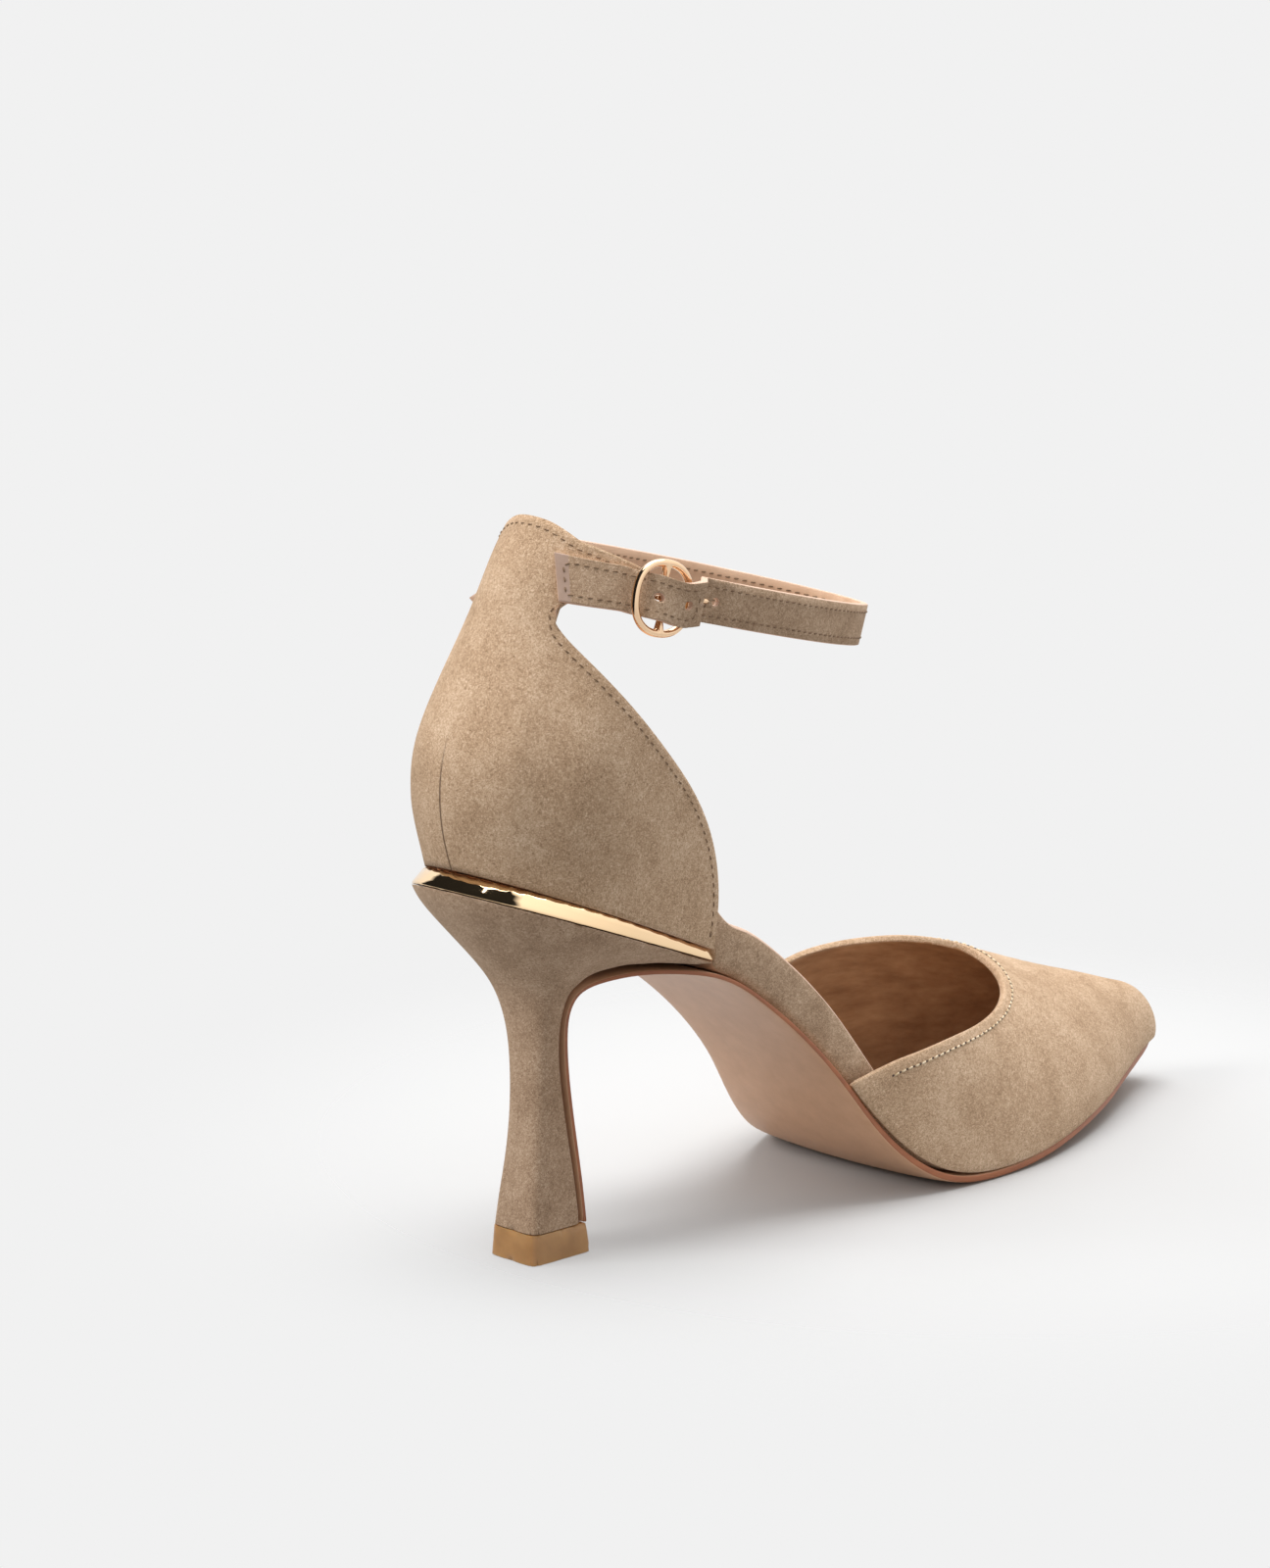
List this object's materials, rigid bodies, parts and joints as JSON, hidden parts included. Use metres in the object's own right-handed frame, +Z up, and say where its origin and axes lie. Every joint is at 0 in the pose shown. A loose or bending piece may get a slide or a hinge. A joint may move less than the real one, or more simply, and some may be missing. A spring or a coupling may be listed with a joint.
{
  "type": "ankle strap pump",
  "caption": "Pointed suede pump for the right foot, open at the waist, with a high closed heel counter, slim heel, metal seat edge and buckled ankle strap.",
  "frame": {"origin": "middle of the shoe's length and width, on the floor it stands on", "axes": "+X towards the toe, +Y towards the inner side of the right foot, +Z up from the floor"},
  "size_m": [0.2396, 0.0694, 0.1618],
  "materials": {
    "suede": "taupe suede with a short mottled nap",
    "sole_leather": "smooth nude sole leather with a painted tan edge",
    "gold": "polished pale gold",
    "top_lift_rubber": "satin honey rubber",
    "elastic": "ribbed cream elastic"
  },
  "bodies": {
    "root": {"outsole": "sole_leather", "insole": "suede", "heel": "suede", "seat_plate": "gold", "top_lift": "top_lift_rubber", "counter": "suede", "vamp": "suede", "ankle_strap": "suede", "buckle_frame": "gold", "buckle_prong": "gold", "buckle_elastic": "elastic"}
  },
  "joints": []
}
